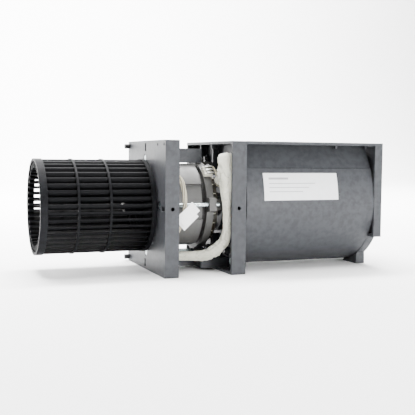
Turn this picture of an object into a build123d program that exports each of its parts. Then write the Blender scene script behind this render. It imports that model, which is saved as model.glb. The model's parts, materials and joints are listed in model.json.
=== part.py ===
"""Double-ended ventilation blower: a motor between two square trays, a bare drum wheel on the
left and a drum wheel inside a scroll casing on the right.

Millimetres. +X runs along the shaft from the bare wheel to the cased wheel, +Y to the back, where
the casing blows out, and +Z up. The origin is the centre of the bottom of the bounding box.
"""

from build123d import *

import os
from math import cos, pi, radians, sin, tan

# ---------------------------------------------------------------- driving dimensions
LENGTH = 377.0            # open end of the left wheel to the outer face of the inlet cap
SQUARE = 140.0            # side of both square trays
WALL = 3.0                # moulded wall of the trays
SHELL = 2.5               # moulded wall of the scroll casing

HALF = SQUARE / 2
AXIS_Z = HALF             # height of the shaft
LEFT_END = -LENGTH / 2
RIGHT_END = LENGTH / 2

# left tray: plate on the left, lip towards the motor
LEFT_PLATE = LEFT_END + 120.0
LEFT_LIP = LEFT_PLATE + 15.0
# right tray: plate on the right, lip towards the motor
RIGHT_LIP = LEFT_PLATE + 73.0
RIGHT_PLATE = RIGHT_LIP + 16.0
CAP_DEPTH = 10.0          # depth of the inlet cap's rim

LIP_HOLE_R = 2.0          # chassis screw hole in the middle of each lip
LIP_HOLE_DEPTH = 6.5
LIP_BOSS_R = 4.0
LIP_BOSS_DEPTH = 7.8      # outer face to the end of the boss behind a lip hole
LIP_HOLE_BACK = 8.0       # hole centre to each plate's outer face
CORNER_R = 1.5

# wheels
BLADES = 42
WHEEL_R = 50.0            # over the rings
BLADE_TIP_R = 49.2
BLADE_ROOT_R = 40.8
BLADE_LEAN = 4.6          # degrees round the axis from root to tip, towards rotation
BLADE_BOW = 1.7           # degrees that the middle of a blade trails behind its chord
BLADE_T = 1.6
RING_ROOT_R = 47.4
WHEEL_GAP = 2.5           # hub disc to the tray beside it
OPEN_RING = 7.5
RIB_W = 2.2
DISC_T = 4.5
HUB_R = 9.0
HUB_L = 22.0
INSERT_R = 6.5
LEFT_DISC = LEFT_PLATE - WHEEL_GAP
LEFT_HUB_END = LEFT_DISC - HUB_L
RIGHT_DISC = RIGHT_PLATE + WHEEL_GAP + 1.0
RIGHT_HUB_END = RIGHT_DISC + HUB_L
LEFT_RIBS = (LEFT_END + 38.0, LEFT_END + 70.5)
RIGHT_OPEN = RIGHT_END - 12.0
RIGHT_RIBS = (RIGHT_OPEN - 38.0, RIGHT_OPEN - 70.5, RIGHT_OPEN - 103.0)
SET_SCREW_IN = 6.0        # set screw to the end of its hub

# motor
SHAFT_R = 4.0
SHIELD_R = 44.8           # channels between the raised pads
PAD_R = 47.5
SHIELD_WALL = 2.0
SHIELD_LEFT = LEFT_PLATE + 8.5
SHIELD_RIM = LEFT_PLATE + 49.5
FLANGE_LEFT = SHIELD_RIM + 4.0
FLANGE_RIGHT = FLANGE_LEFT + 8.0
FLANGE_R = 48.0
BOLT_CIRCLE_R = 51.0
BOLT_PHASE = 3.0          # degrees, the bolts stand a little round from the level
BOLT_R = 2.0
BOLT_HEAD_R = 4.0
BOLT_END = FLANGE_RIGHT + 4.5
BOLT_GAP = 0.25           # radial clearance of the bolts in plain holes
BOLT_BOSS_R = 6.5
LUG_W = 15.0
LUG_REACH = 55.5
CORE_R = 42.4
RING_FIT = 0.1            # radial gap of the bracket's ring round the core
CORE_BORE_R = 23.0
CORE_LEFT = LEFT_PLATE + 24.5
CORE_RIGHT = FLANGE_LEFT + 3.0
SLOTS = 16
COIL_OUT_R = 40.5
COIL_IN_R = 26.0
COIL_OVERHANG = 13.0
ROTOR_R = 22.4
BEARING_R = 8.0
BEARING_L = 11.0
BEARING_HUB_R = 13.0
BEARING_SEAT_R = 11.0
SHAFT_HOLE_R = 5.0
RETAINER_AT = 5.7         # bush centre to the spring plate
RUNNING_GAP = 0.03        # radial clearance of the shaft in its bearings
LEFT_BEARING = SHIELD_LEFT + 7.5
RIGHT_BEARING = FLANGE_RIGHT + 7.5

# bridging arms between the trays
ARM_END = LEFT_PLATE + 59.5
ARM_HALF = 15.0
TOP_ARM_LOW = 116.5
TOP_ARM_HIGH = 132.0
LOW_ARM_HIGH = 9.2
BLOCK_LEFT = LEFT_PLATE + 53.1
BLOCK_FRONT = -33.0
BLOCK_HIGH = 13.5
EARTH_SCREW = (RIGHT_LIP + 5.5, -HALF + 11.0, 13.0)
ARM_SCREW_X = ARM_END + 5.0
ARM_SCREW_R = 1.35

# scroll outline, from the shaft axis: (back, up)
FRONT = (-69.7, 0.0)
PARTING = (-61.8, 41.6)
BOTTOM = (0.0, -68.0)
SCROLL_BACK = (44.2, -44.2)
TONGUE_FOOT = (52.5, -28.5)
SHOULDER = (-48.0, 67.0)
OUTLET_LOW = -33.0
SCREW_Y = 31.0            # casing screws, from the axis
SCREW_Z = 50.0
SHELL_LEFT = RIGHT_PLATE + 1.2
SHELL_RIGHT = RIGHT_END - CAP_DEPTH
POST_L = 14.0
POST_R = 4.2
SCREW_R = 1.6
SCREW_HOLE_R = 2.2
SCREW_BORE = 12.0         # depth of the pilot holes in the posts

# leads
SLEEVE_R = 5.2
WIRES_R = 2.6
CONNECTOR_L = 17.0
TAG_AT = (-41.8, -63.0, 61.8)
TAG_TILT = -43.0          # degrees about Y
NEAR_LEAF = (26.0, 0.3, 13.0)
FAR_LEAF = (22.0, 0.3, 14.0)
SLEEVE_ROUTE = [
    (2.0, -36.0, 95.0), (5.0, -45.5, 108.0), (4.0, -45.5, 124.0), (0.5, -58.5, 124.0),
    (3.0, -58.5, 52.0), (-0.5, -53.0, 34.0), (-10.0, -39.0, 22.0), (-27.0, -31.0, 18.2), (-55.0, -30.0, 17.2),
]
WIRES_ROUTE = [
    (-55.0, -30.0, 17.2), (-61.0, -33.0, 17.8), (-60.5, -50.0, 27.0), (-52.0, -60.0, 45.0),
    (-43.5, -60.0, 67.0), (-44.5, -60.3, 86.0), (-48.5, -60.0, 101.0), (-58.5, -60.0, 108.0),
    (-59.5, -60.0, 117.0),
]


# ---------------------------------------------------------------- helpers
def box(x0, x1, y0, y1, z0, z1):
    """A block given by its two faces along each axis."""
    centre = ((x0 + x1) / 2, (y0 + y1) / 2, (z0 + z1) / 2)
    return Pos(*centre) * Box(abs(x1 - x0), abs(y1 - y0), abs(z1 - z0))


def rod(x0, x1, r, y=0.0, z=AXIS_Z):
    """A cylinder along X."""
    return Pos((x0 + x1) / 2, y, z) * Rot(0, 90, 0) * Cylinder(r, abs(x1 - x0))


def tube(x0, x1, outer, inner, y=0.0, z=AXIS_Z):
    """A hollow cylinder along X."""
    return rod(x0, x1, outer, y, z) - rod(x0 - 1, x1 + 1, inner, y, z)


def ring_point(r, degrees):
    """(y, z) at radius r from the shaft, degrees up from the front."""
    return -r * cos(radians(degrees)), AXIS_Z + r * sin(radians(degrees))


def bolt_places():
    """(y, z) of the four motor bolts."""
    return [ring_point(BOLT_CIRCLE_R, BOLT_PHASE + 90 * k) for k in range(4)]


def casing_screw_places():
    """(y, z) of the four screws at each end of the casing."""
    return [(y, AXIS_Z + z) for y in (-SCREW_Y, SCREW_Y) for z in (-SCREW_Z, SCREW_Z)]


def around(shape, degrees):
    """The shape turned about the shaft, upwards at the front."""
    axis = Pos(0, 0, AXIS_Z)
    return axis * Rot(-degrees, 0, 0) * axis.inverse() * shape


def extrude_x(face, x0, x1):
    """A face drawn in (back, up) from the shaft axis, extruded from x0 to x1."""
    plane = Plane(origin=(x0, 0, AXIS_Z), x_dir=(0, 1, 0), z_dir=(1, 0, 0))
    return extrude(plane * face, x1 - x0)


def sector(x0, x1, outer, inner, low, high):
    """A block of ring between two angles, degrees up from the front."""
    reach = outer * 2

    def polar(r, degrees):
        return (-r * cos(radians(degrees)), r * sin(radians(degrees)))

    middle = (low + high) / 2
    wedge = make_face(Polyline((0, 0), polar(reach, low), polar(reach, middle),
                               polar(reach, high), close=True))
    band = Circle(outer) - Circle(inner)
    return extrude_x(band & wedge, x0, x1)


def swept(route, r):
    """A round tube of straight runs and tangent arcs, each as large as its runs allow."""
    points = [Vector(*p) for p in route]
    runs = [(b - a).length for a, b in zip(points, points[1:])]
    radii = []
    for i in range(1, len(points) - 1):
        turn = radians((points[i] - points[i - 1]).get_angle(points[i + 1] - points[i]))
        radii.append(0.45 * min(runs[i - 1], runs[i]) / tan(turn / 2))
    print("bend radii", [round(v, 1) for v in radii])
    path = FilletPolyline(*points, radius=radii)
    start = Plane(origin=path @ 0, z_dir=path % 0)
    solid = sweep(start * Circle(r), path=path)
    ratio = solid.volume / (pi * r * r * path.length)
    print("length", round(path.length, 1), "volume ratio", round(ratio, 6))
    return solid


def one(shape):
    """The shape, after checking that it is a single solid."""
    assert len(shape.solids()) == 1, f"{len(shape.solids())} solids"
    return shape


def pan_screw(x, direction, y, z, shank_r, shank_l, head_r, head_h):
    """A cross-recessed screw along X whose head's underside is at x; direction points to its head."""
    head = rod(x, x + direction * head_h, head_r, y, z)
    rim = [e for e in head.edges() if abs(e.center().X - (x + direction * head_h)) < 1e-6]
    head = fillet(rim, head_h * 0.45)
    depth = head_h * 0.55
    top = x + direction * head_h
    cross = box(top, top - direction * depth, y - head_r * 0.55, y + head_r * 0.55, z - 0.45, z + 0.45)
    cross += box(top, top - direction * depth, y - 0.45, y + 0.45, z - head_r * 0.55, z + head_r * 0.55)
    return head - cross + rod(x, x - direction * shank_l, shank_r, y, z)


# ---------------------------------------------------------------- trays
def lip_holes(x):
    """Cutters for the blind holes in the middle of a tray's four lips."""
    hole = Pos(x, 0, SQUARE - LIP_HOLE_DEPTH / 2) * Cylinder(LIP_HOLE_R, LIP_HOLE_DEPTH)
    return [around(hole, 90 * k) for k in range(4)]


def lip_bosses(x):
    """The bosses behind the lip holes."""
    length = LIP_BOSS_DEPTH - WALL / 2
    boss = Pos(x, 0, SQUARE - WALL / 2 - length / 2) * Cylinder(LIP_BOSS_R, length)
    return [around(boss, 90 * k) for k in range(4)]


def tray(plate_x, lip_x):
    """A square tray: its plate's outer face at plate_x, its lip's edge at lip_x."""
    inward = 1 if lip_x > plate_x else -1
    body = box(plate_x, lip_x, -HALF, HALF, 0, SQUARE)
    body = fillet(body.edges().filter_by(Axis.X), CORNER_R)
    inner = HALF - WALL
    hollow = box(plate_x + inward * WALL, lip_x + inward, -inner, inner, WALL, SQUARE - WALL)
    body -= fillet(hollow.edges().filter_by(Axis.X), CORNER_R)
    return body + lip_bosses(plate_x + inward * LIP_HOLE_BACK)


def left_tray():
    """The motor's own tray, with bolt bosses and the two arms that bridge to the right tray."""
    body = tray(LEFT_PLATE, LEFT_LIP)
    inside = LEFT_PLATE + WALL
    for y, z in bolt_places():
        body += rod(inside, SHIELD_LEFT, BOLT_BOSS_R, y, z)
    # the top arm is an upside-down channel over the motor
    top = box(inside, ARM_END, -ARM_HALF, ARM_HALF, TOP_ARM_LOW, TOP_ARM_HIGH)
    end_edges = [e for e in top.edges().filter_by(Axis.Y)
                 if e.center().X > ARM_END - 1 and e.center().Z > TOP_ARM_HIGH - 1]
    top = fillet(end_edges, 2.0)
    web = ARM_HALF - SHELL
    top -= box(inside - 1, ARM_END + 1, -web, web, TOP_ARM_LOW - 1, TOP_ARM_HIGH - SHELL)
    body += top
    # the low arm is a flat tongue that ends inside the right tray's block
    tongue = ARM_HALF - SHELL - 0.3
    body += box(inside, ARM_END + 12, -tongue, tongue, WALL, LOW_ARM_HIGH)
    body += box(inside, LEFT_LIP, -tongue, tongue, WALL - 1, LOW_ARM_HIGH)
    for y, z in bolt_places():
        body -= rod(LEFT_PLATE - 1, SHIELD_LEFT + 1, BOLT_R + BOLT_GAP, y, z)
        body -= rod(LEFT_PLATE - 1, LEFT_PLATE + 3.0, BOLT_HEAD_R + 0.4, y, z)
    body -= rod(LEFT_PLATE - 1, inside + 1, 11.0)
    for y, z in peg_places():
        body -= rod(LEFT_PLATE - 1, inside + 1, 1.5, y, z)
    # cored slots beside the lip holes, and two small cored marks at the front of the top edge
    slot = box(LEFT_PLATE - 1, LEFT_PLATE + 2.2, -2.2, 2.2, SQUARE - 11.5, SQUARE - 2.6)
    for k in range(4):
        body -= around(slot, 90 * k)
    for y in (-44.0, -65.0):
        body -= rod(LEFT_PLATE - 1, LEFT_PLATE + 1.5, 1.6, y, SQUARE - 4.4)
    # clearance for the arm screw
    body -= Pos(ARM_SCREW_X, 0, 6) * Cylinder(ARM_SCREW_R + 0.35, 20)
    return one(body - lip_holes(LEFT_PLATE + LIP_HOLE_BACK))


def peg_places():
    """(y, z) of the two casing pegs at the back of the left tray."""
    return [(HALF - 4.5, SQUARE - 5.5), (HALF - 4.5, 5.0)]


def locating_pegs():
    """Two black pegs pushed into the left tray."""
    pegs = []
    for y, z in peg_places():
        head = rod(LEFT_PLATE - 6.0, LEFT_PLATE, 2.75, y, z)
        tip = [e for e in head.edges() if e.center().X < LEFT_PLATE - 5.9]
        pegs.append(fillet(tip, 0.8) + rod(LEFT_PLATE, LEFT_PLATE + WALL + 1.5, 1.5, y, z))
    return pegs


def right_tray():
    """The casing's motor-side wall: a tray with ribs, screw bosses and the block for the low arm."""
    body = tray(RIGHT_PLATE, RIGHT_LIP)
    inside = RIGHT_PLATE - WALL
    rib_left = RIGHT_LIP + 5.5
    side_rib_left = RIGHT_LIP + 9.5
    for y in (0.0, 38.0):
        for low, high in ((WALL - 1, 37.0), (103.0, SQUARE - WALL + 1)):
            body += box(rib_left, inside + 1, y - 1.2, y + 1.2, low, high)
    for side in (-1, 1):
        edges = sorted((side * 42.0, side * (HALF - WALL + 1)))
        body += box(side_rib_left, inside + 1, *edges, 40.8, 43.2)
        body += box(side_rib_left, inside + 1, *edges, 96.8, 99.2)
    body += tube(rib_left + 1.5, inside + 1, 30.0, 27.6)
    for y, z in casing_screw_places():
        body += rod(inside - 3.5, inside + 1, 5.0, y, z)
    # a boss in the front bottom corner for the earth screw
    body += box(EARTH_SCREW[0], inside + 1, -HALF + 1, EARTH_SCREW[1] + 8.0, 1.0, EARTH_SCREW[2] + 7.0)
    # a downward channel that takes the left tray's low arm
    block = box(BLOCK_LEFT, inside + 1, BLOCK_FRONT, ARM_HALF, WALL, BLOCK_HIGH)
    block = fillet(block.edges().filter_by(Axis.Z).group_by(Axis.X)[0], 1.0)
    web = ARM_HALF - SHELL
    block -= box(BLOCK_LEFT - 1, ARM_END + 13, -web, web, WALL - 1, LOW_ARM_HIGH + 0.4)
    block -= box(BLOCK_LEFT + SHELL, RIGHT_LIP, BLOCK_FRONT + SHELL, -ARM_HALF, WALL - 1, LOW_ARM_HIGH + 0.4)
    body += block
    body -= rod(inside - 1, RIGHT_PLATE + 1, 13.0)
    body -= rod(EARTH_SCREW[0] - 1, inside, SCREW_R, EARTH_SCREW[1], EARTH_SCREW[2])
    for y, z in casing_screw_places():
        body -= rod(inside - 8, RIGHT_PLATE + 1, SCREW_HOLE_R, y, z)
    body -= Pos(ARM_SCREW_X, 0, 6) * Cylinder(ARM_SCREW_R, 20)
    return one(body - lip_holes(RIGHT_PLATE - LIP_HOLE_BACK))


def earth_screw():
    """The earth screw in its corner boss."""
    x, y, z = EARTH_SCREW
    return pan_screw(x, -1, y, z, SCREW_R, 7.0, 3.6, 2.4)


def arm_screw():
    """The screw that ties the low arm to the block, from below."""
    head = Pos(ARM_SCREW_X, 0, WALL - 1.0) * Cylinder(3.2, 2.0)
    head -= Pos(ARM_SCREW_X, 0, WALL - 2.0) * (Box(3.4, 0.8, 2.0) + Box(0.8, 3.4, 2.0))
    shank = Pos(ARM_SCREW_X, 0, WALL + 4.4) * Cylinder(ARM_SCREW_R, 8.8)
    return [head + shank]


# ---------------------------------------------------------------- motor
def shield_left():
    """The deep end shield: a can with four raised pads, lugs at its closed end and a bearing seat."""
    rim = SHIELD_RIM
    body = rod(SHIELD_LEFT, rim, SHIELD_R)
    for k in range(4):
        body += sector(SHIELD_LEFT + 3, rim, PAD_R, SHIELD_R - 1, 31 + 90 * k, 74 + 90 * k)
    inner_r = SHIELD_R - SHIELD_WALL
    body -= rod(SHIELD_LEFT + SHIELD_WALL, rim + 1, inner_r)
    for y, z in bolt_places():
        body += rod(SHIELD_LEFT, SHIELD_LEFT + 4.5, 6.0, y, z)
    for k in range(4):
        web = box(SHIELD_LEFT, SHIELD_LEFT + 4.5, -BOLT_CIRCLE_R, -inner_r - 0.5, AXIS_Z - 5.9, AXIS_Z + 5.9)
        body += around(web, BOLT_PHASE + 90 * k)
    body += rod(SHIELD_LEFT - 4.0, SHIELD_LEFT + 14.0, BEARING_HUB_R)
    body -= rod(SHIELD_LEFT + 0.5, SHIELD_LEFT + 20.0, BEARING_SEAT_R)
    body -= rod(SHIELD_LEFT - 10.0, SHIELD_LEFT + 20.0, SHAFT_HOLE_R)
    for k in range(8):
        body -= around(rod(SHIELD_LEFT - 1, SHIELD_LEFT + 4, 4.0, -30.0, AXIS_Z), 22.5 + 45 * k)
    for y, z in bolt_places():
        body -= rod(SHIELD_LEFT - 1, SHIELD_LEFT + 6, BOLT_R + BOLT_GAP, y, z)
    return one(body)


def shield_right():
    """The open end bracket: a ring with tapped lugs, and four legs in to the bearing seat."""
    body = tube(FLANGE_LEFT, FLANGE_RIGHT, FLANGE_R, CORE_R + RING_FIT)
    inner = FLANGE_R - 3.0
    leg_end = FLANGE_RIGHT + 15.5
    leg_face = leg_end - 3.5
    for k in range(4):
        angle = BOLT_PHASE + 90 * k
        # a lug that is tapped for the bolt
        lug = box(FLANGE_LEFT, FLANGE_RIGHT, -LUG_REACH, -inner, AXIS_Z - LUG_W / 2, AXIS_Z + LUG_W / 2)
        lug = fillet([e for e in lug.edges().filter_by(Axis.X) if e.center().Y < -inner - 5], 2.0)
        body += around(lug, angle)
        leg = box(FLANGE_RIGHT - 1, leg_end, -FLANGE_R + 0.6, -inner, AXIS_Z - 6, AXIS_Z + 6)
        leg += box(leg_face, leg_end, -FLANGE_R + 0.6, -BEARING_HUB_R + 1, AXIS_Z - 6, AXIS_Z + 6)
        body += around(leg, angle)
    body += rod(RIGHT_BEARING - 7.5, leg_end, BEARING_HUB_R)
    body -= rod(RIGHT_BEARING - 20.0, leg_end - 2.0, BEARING_SEAT_R)
    body -= rod(RIGHT_BEARING - 20.0, leg_end + 5.0, SHAFT_HOLE_R)
    for y, z in bolt_places():
        body -= rod(FLANGE_LEFT - 1, FLANGE_RIGHT + 1, BOLT_R, y, z)
    return one(body)


def through_bolts():
    """Four long bolts from the left tray, past the motor, into the bracket's tapped lugs."""
    bolts = []
    seat = LEFT_PLATE + 3.0
    for y, z in bolt_places():
        bolts.append(pan_screw(seat, -1, y, z, BOLT_R, BOLT_END - seat, BOLT_HEAD_R, 2.7))
    return bolts


def slot_cutter(x0, x1, shrink=0.0):
    """One stator slot, at the front: a pocket with round ends and a narrow mouth to the bore."""
    outer, inner, wide, narrow = 37.5 - shrink, 26.5 + shrink, 4.3 - shrink, 2.7 - shrink
    pocket = make_face(Polyline((-outer, -wide), (-outer, wide), (-inner, narrow),
                                (-inner, -narrow), close=True))
    shape = extrude_x(pocket, x0, x1)
    if not shrink:
        shape += box(x0, x1, -27.0, -CORE_BORE_R + 1.5, AXIS_Z - 1.1, AXIS_Z + 1.1)
    return shape


def stator_core():
    """The lamination stack, slotted for the winding."""
    body = tube(CORE_LEFT, CORE_RIGHT, CORE_R, CORE_BORE_R)
    cutter = slot_cutter(CORE_LEFT - 1, CORE_RIGHT + 1)
    return one(body - [around(cutter, 360 / SLOTS * k) for k in range(SLOTS)])


def stator_winding():
    """The copper: a bar through each slot, joined by the end turns on both sides."""
    bar = slot_cutter(CORE_LEFT - 2.0, CORE_RIGHT + 2.0, shrink=0.5)
    body = None
    for x0, x1 in ((CORE_LEFT - COIL_OVERHANG, CORE_LEFT - 1.0),
                   (CORE_RIGHT + 1.0, CORE_RIGHT + COIL_OVERHANG)):
        turns = tube(x0, x1, COIL_OUT_R, COIL_IN_R)
        outer = x0 if x0 < CORE_LEFT else x1
        rims = [e for e in turns.edges().filter_by(GeomType.CIRCLE)
                if abs(e.center().X - outer) < 1e-3]
        turns = fillet(rims, 4.5)
        body = turns if body is None else body + turns
    return one(body + [around(bar, 360 / SLOTS * k) for k in range(SLOTS)])


def bearing(x):
    """A self-aligning sintered bush: a ball with flat ends and the shaft's bore."""
    ball = Pos(x, 0, AXIS_Z) * Sphere(BEARING_R)
    ball &= rod(x - BEARING_L / 2, x + BEARING_L / 2, BEARING_R + 1)
    return ball - rod(x - BEARING_L, x + BEARING_L, SHAFT_R + RUNNING_GAP)


def felt(x):
    """The oiled felt ring round a bush."""
    ring = tube(x - 3.5, x + 2.5, 10.8, 6.0)
    return ring - Pos(x, 0, AXIS_Z) * Sphere(BEARING_R + 0.05)


def retainer(x, inward):
    """The spring plate that presses a bush into its seat, pushed into the seat's mouth."""
    ring = tube(x, x + inward * 0.8, BEARING_SEAT_R - 0.05, SHAFT_HOLE_R + 0.9)
    notch = box(x - 1, x + inward * 2, -10.0, -8.2, AXIS_Z - 1.0, AXIS_Z + 1.0)
    return ring - [around(notch, 60 * k) for k in range(6)]


def thermal_protector():
    """The thermal cut-out tied against the right-hand end turns."""
    x0 = CORE_RIGHT + COIL_OVERHANG
    body = box(x0, x0 + 4.0, -3.8, 3.8, AXIS_Z + 24.5, AXIS_Z + 40.0)
    body = fillet(body.edges().filter_by(Axis.X), 1.2)
    return around(body, -45.0)


def lead_exit_block():
    """The insulating block on the bracket's ring where the coil leads come out."""
    block = box(FLANGE_LEFT + 0.5, FLANGE_RIGHT + 1.5, -FLANGE_R - 4.5, -FLANGE_R + 0.05,
                AXIS_Z - 6.0, AXIS_Z + 6.0)
    block = fillet(block.edges().filter_by(Axis.X), 0.9)
    block -= [box(FLANGE_LEFT - 1, FLANGE_RIGHT + 3, -FLANGE_R - 5, -FLANGE_R - 3, AXIS_Z + z - 0.8,
                  AXIS_Z + z + 0.8) for z in (-3.0, 0.0, 3.0)]
    return around(block - rod(FLANGE_LEFT - 1, FLANGE_RIGHT + 3, FLANGE_R), 48.0)


def coil_leads():
    """Three enamelled leads from the end turns into the mouth of the sleeve."""
    leads = []
    coil_x = CORE_RIGHT + COIL_OVERHANG - 3.0
    for dx, dz, spread in ((-2.2, 0.0, 0.0), (0.6, 2.0, 1.6), (2.6, -1.6, 3.2)):
        start_y, start_z = ring_point(COIL_OUT_R, 34.0 + 3.0 * spread)
        end = (1.0 + dx, -36.0 + 0.4 * dx, SLEEVE_ROUTE[0][2])
        points = [(coil_x, start_y, start_z), (coil_x + 0.2, start_y - 2.2, start_z + 1.0),
                  (end[0], end[1], end[2] - 3.0), end]
        path = Spline(*points)
        leads.append(sweep(Plane(origin=path @ 0, z_dir=path % 0) * Circle(0.7), path=path))
    return leads


# ---------------------------------------------------------------- leads
def lead_connector():
    """The connector at the end of the leads, tucked into the front top corner of the left tray."""
    x, y, z = WIRES_ROUTE[-1]
    body = box(x - 5.5, x + 5.2, y - 5.8, y + 6.5, z, z + CONNECTOR_L)
    body = fillet(body.edges().filter_by(Axis.Z), 0.8)
    for dx in (-2.6, 2.4):
        for dy in (-3.4, 0.4, 4.2):
            body -= box(x + dx - 1.5, x + dx + 1.5, y + dy - 1.5, y + dy + 1.5, z + 7.0, z + CONNECTOR_L + 1)
    body += box(x - 2.0, x + 2.0, y + 6.0, y + 7.6, z + 5.0, z + 14.0)
    return one(body)


def flag_tag():
    """A folded paper flag on the leads."""
    turned = Pos(*TAG_AT) * Rot(0, TAG_TILT, 0)
    near = turned * (Pos(2.0, -0.2, 0.9) * Box(*NEAR_LEAF))
    far = turned * (Pos(-2.5, 0.1, -0.6) * Box(*FAR_LEAF))
    return one(near + far)


# ---------------------------------------------------------------- casing
def lower_profile():
    """Section of the lower shell: front, round the bottom, and back up to the tongue."""
    inner_front = (FRONT[0] + SHELL, FRONT[1])
    inner_part = (PARTING[0] + SHELL, PARTING[1])
    inner_bottom = (0.0, BOTTOM[1] + SHELL)
    inner_back = (SCROLL_BACK[0] - 1.8, SCROLL_BACK[1] + 1.8)
    tip = (TONGUE_FOOT[0] - 0.1, -21.0)
    edges = [
        ThreePointArc(PARTING, (-67.8, 20.8), FRONT),
        ThreePointArc(FRONT, (-54.6, -40.2), BOTTOM),
        ThreePointArc(BOTTOM, (24.8, -61.6), SCROLL_BACK),
        ThreePointArc(SCROLL_BACK, (49.2, -36.6), TONGUE_FOOT),
        Polyline(TONGUE_FOOT, (HALF, OUTLET_LOW), (HALF, OUTLET_LOW + SHELL),
                 (TONGUE_FOOT[0] + 2.6, -19.8), tip),
        ThreePointArc(tip, (48.4, -33.2), inner_back),
        ThreePointArc(inner_back, (23.8, -59.3), inner_bottom),
        ThreePointArc(inner_bottom, (-52.8, -38.6), inner_front),
        ThreePointArc(inner_front, (-65.3, 20.8), inner_part),
        Line(inner_part, PARTING),
    ]
    return make_face(edges)


def casing_posts(x0, x1, up):
    """Screw posts along X that stand on the shell's inside, at the bottom or the top."""
    posts = []
    for y, z in casing_screw_places():
        if (z > AXIS_Z) != up:
            continue
        post = rod(x0, x1, POST_R, y, z)
        reach = SQUARE - 2.0 if up else 5.0
        post += box(x0, x1, y - 2.2, y + 2.2, z, reach)
        posts.append(post)
    return posts


def lower_shell():
    """The scroll's front, bottom and tongue, with a spigot that fits the tray."""
    body = extrude_x(lower_profile(), RIGHT_PLATE, SHELL_RIGHT)
    groove = Circle(80) - Circle(67.0)
    body -= extrude_x(groove, RIGHT_PLATE - 1, SHELL_LEFT)
    within = rod(RIGHT_PLATE, SHELL_RIGHT, 67.0)
    for x0, x1 in ((RIGHT_PLATE, RIGHT_PLATE + POST_L), (SHELL_RIGHT - POST_L, SHELL_RIGHT)):
        for post in casing_posts(x0, x1, up=False):
            body += post & within
    for y, z in casing_screw_places():
        if z < AXIS_Z:
            body -= rod(RIGHT_PLATE - 1, RIGHT_PLATE + SCREW_BORE, SCREW_R, y, z)
            body -= rod(SHELL_RIGHT - SCREW_BORE, SHELL_RIGHT + 1, SCREW_R, y, z)
    return body


def upper_shell():
    """The sloping front shoulder, the flat top and its overhanging rim."""
    gap = 0.25
    top_low = HALF - WALL
    slope = make_face(Polyline(
        (PARTING[0] + 0.7, PARTING[1] + gap), (SHOULDER[0], SHOULDER[1] + 0.5),
        (SHOULDER[0] + SHELL, SHOULDER[1] + 0.5), (PARTING[0] + 0.7 + SHELL, PARTING[1] + gap),
        close=True))
    body = extrude_x(slope, RIGHT_PLATE, SHELL_RIGHT)
    body += box(RIGHT_PLATE, SHELL_RIGHT, -HALF, HALF, AXIS_Z + top_low, SQUARE)
    # a hidden lap inside the parting line
    lap = make_face(Polyline(
        (PARTING[0] + SHELL + 0.3, PARTING[1] - 4.0), (PARTING[0] + SHELL + 0.9, PARTING[1] + 1.5),
        (PARTING[0] + SHELL + 2.6, PARTING[1] + 1.5), (PARTING[0] + SHELL + 2.0, PARTING[1] - 4.0),
        close=True))
    body += extrude_x(lap, RIGHT_PLATE + 6, SHELL_RIGHT - 6)
    # small tabs under the rim
    for x in (136.5, SHELL_RIGHT - 3.0):
        body += box(x - 1.2, x + 1.2, -56.0, -52.5, SQUARE - WALL - 3.5, SQUARE - WALL + 1)
    for x0, x1 in ((RIGHT_PLATE, RIGHT_PLATE + POST_L), (SHELL_RIGHT - POST_L, SHELL_RIGHT)):
        for post in casing_posts(x0, x1, up=True):
            body += post
    for y, z in casing_screw_places():
        if z > AXIS_Z:
            body -= rod(RIGHT_PLATE - 1, RIGHT_PLATE + SCREW_BORE, SCREW_R, y, z)
            body -= rod(SHELL_RIGHT - SCREW_BORE, SHELL_RIGHT + 1, SCREW_R, y, z)
    return one(body)


def inlet_cap():
    """The right-hand end: round below, a square rim above, a bellmouth inlet and one foot."""
    x0, x1 = SHELL_RIGHT, RIGHT_END
    low = 34.5
    outline = rod(x0, x1, 68.0) & box(x0, x1, -HALF, HALF, 0, AXIS_Z)
    square = box(x0, x1, -HALF, HALF, low, SQUARE)
    body = outline + square
    foot = box(x0 - 1.0, x1, -38.0, -9.0, 0.0, 16.0) - rod(x0 - 2, x0, 69.6) - rod(x0 - 1, x1 + 1, 67.0)
    face = x1 - WALL
    hollow = rod(x0 - 1, face, 65.5) & box(x0 - 1, face, -HALF, HALF, 0, AXIS_Z)
    hollow += box(x0 - 1, face, -HALF + WALL, HALF - WALL, low + WALL, SQUARE - WALL)
    body -= hollow
    body += foot
    profile = make_face(Polyline((-WALL, 44.0), (0, 46.5), (0, 49.0), (-WALL, 49.0),
                                 (-7.5, 45.4), (-7.5, 43.0), close=True))
    plane = Plane(origin=(x1, 0, AXIS_Z), x_dir=(1, 0, 0), z_dir=(0, -1, 0))
    body -= rod(face - 1, x1 + 1, 46.5)
    body += revolve(plane * profile, Axis((0, 0, AXIS_Z), (1, 0, 0)), 360)
    for y, z in casing_screw_places():
        post = rod(x0, face + 1, 4.6, y, z)
        body += post
    for y, z in casing_screw_places():
        body -= rod(x0 - 1, x1 + 1, SCREW_HOLE_R, y, z)
        body -= rod(face, x1 + 1, 4.0, y, z)
    return one(body)


def casing_screws_left():
    """Four screws through the right tray into the casing."""
    seat = RIGHT_PLATE - WALL - 3.5
    return [pan_screw(seat, -1, y, z, SCREW_R, 16.0, 3.8, 2.4) for y, z in casing_screw_places()]


def casing_screws_right():
    """Four screws through the inlet cap into the casing."""
    seat = RIGHT_END - WALL
    return [pan_screw(seat, 1, y, z, SCREW_R, 17.0, 3.6, 2.4) for y, z in casing_screw_places()]


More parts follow.
